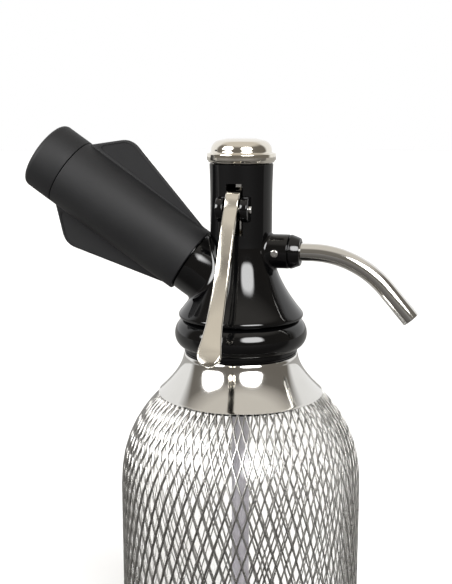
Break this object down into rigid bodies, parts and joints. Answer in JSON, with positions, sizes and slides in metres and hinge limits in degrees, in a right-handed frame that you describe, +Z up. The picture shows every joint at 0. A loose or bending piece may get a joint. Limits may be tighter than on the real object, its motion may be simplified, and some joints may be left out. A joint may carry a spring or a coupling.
{
  "type": "soda siphon",
  "caption": "Glass soda siphon in a steel mesh sleeve, with a black head, squeeze lever, curved spout and a finned charger holder.",
  "frame": {"origin": "centre of the foot's flat underside, on the bottle's axis", "axes": "+Z up along the bottle; +X towards the spout; the charger holder leans out along -X and the lever hangs on the -Y side"},
  "size_m": [0.1842, 0.1175, 0.3097],
  "materials": {
    "gloss_black": "smooth, glossy black",
    "matte_black": "fine moulded texture, black",
    "polished_nickel": "warm polished nickel plate",
    "polished_steel": "polished stainless steel",
    "mesh_steel": "expanded stainless mesh, bright",
    "brass": "machined",
    "aluminium": "turned",
    "clear_glass": "clear, smooth",
    "foot_rubber": "matte black rubber",
    "seal_rubber": "soft black seal",
    "white_plastic": "moulded, off-white",
    "riser_plastic": "translucent grey tube"
  },
  "bodies": {
    "bottle": {"foot_pad": "foot_rubber", "base_cushion": "foot_rubber", "base_cup": "polished_steel", "glass_bottle": "clear_glass", "mesh_sleeve": "mesh_steel", "shoulder_collar": "polished_steel", "neck_ring": "gloss_black", "neck_clamp_front": "white_plastic", "neck_clamp_back": "white_plastic"},
    "gasket": {"head_gasket": "seal_rubber"},
    "head": {"head_body": "gloss_black", "riser_nut": "white_plastic", "riser_tube": "riser_plastic", "valve_seat": "brass", "valve_gland": "brass", "rod_seal": "seal_rubber", "lever_pin": "polished_steel", "spout_socket": "gloss_black", "spout_nut": "gloss_black", "spout_seal": "seal_rubber", "spout_tube": "polished_steel", "spout_screw": "polished_steel", "charger_inlet": "gloss_black", "check_valve": "seal_rubber", "piercing_pin": "polished_steel", "charger_gasket": "seal_rubber"},
    "lever": {"lever": "polished_nickel"},
    "valve": {"valve_rod": "polished_steel", "valve_seal": "seal_rubber", "valve_spring": "polished_steel"},
    "charger": {"gas_charger": "polished_steel"},
    "holder": {"holder_sleeve": "matte_black", "charger_liner": "aluminium", "holder_cap": "matte_black"},
    "washer": {"cap_washer": "seal_rubber"},
    "cap": {"top_cap": "polished_nickel"}
  },
  "joints": [
    {"name": "head_travel", "type": "slide", "parent": "bottle", "child": "gasket", "axis": [0, 0, 1], "range_m": [0, 0.0045]},
    {"name": "head_turn", "type": "hinge", "parent": "gasket", "child": "head", "pos_m": [0, 0, 0.226], "axis": [0, 0, 1], "range_deg": [0, 545]},
    {"name": "valve_lift", "type": "slide", "parent": "head", "child": "valve", "axis": [0, 0, 1], "range_m": [0, 0.0038], "stiffness_N_per_m": 900, "springref_m": -0.005, "deforming": ["valve_spring"]},
    {"name": "lever_press", "type": "hinge", "parent": "head", "child": "lever", "pos_m": [0, -0.0158, 0.2744], "axis": [1, 0, 0], "range_deg": [0, 14]},
    {"name": "holder_travel", "type": "slide", "parent": "head", "child": "charger", "axis": [-0.8271, 0, 0.5621], "range_m": [0, 0.01]},
    {"name": "holder_turn", "type": "hinge", "parent": "charger", "child": "holder", "pos_m": [0, 0, 0.2324], "axis": [-0.8271, 0, 0.5621], "range_deg": [0, 1812]},
    {"name": "cap_travel", "type": "slide", "parent": "head", "child": "washer", "axis": [0, 0, 1], "range_m": [0, 0.00375]},
    {"name": "cap_turn", "type": "hinge", "parent": "washer", "child": "cap", "pos_m": [0, 0, 0.2943], "axis": [0, 0, 1], "range_deg": [0, 1090]}
  ],
  "couplings": [
    {"joint": "head_turn", "follows": "head_travel", "rad_per_m": 2094.4},
    {"joint": "lever_press", "follows": "valve_lift", "rad_per_m": 63.3},
    {"joint": "holder_turn", "follows": "holder_travel", "rad_per_m": 3141.6},
    {"joint": "cap_turn", "follows": "cap_travel", "rad_per_m": 5026.5}
  ]
}
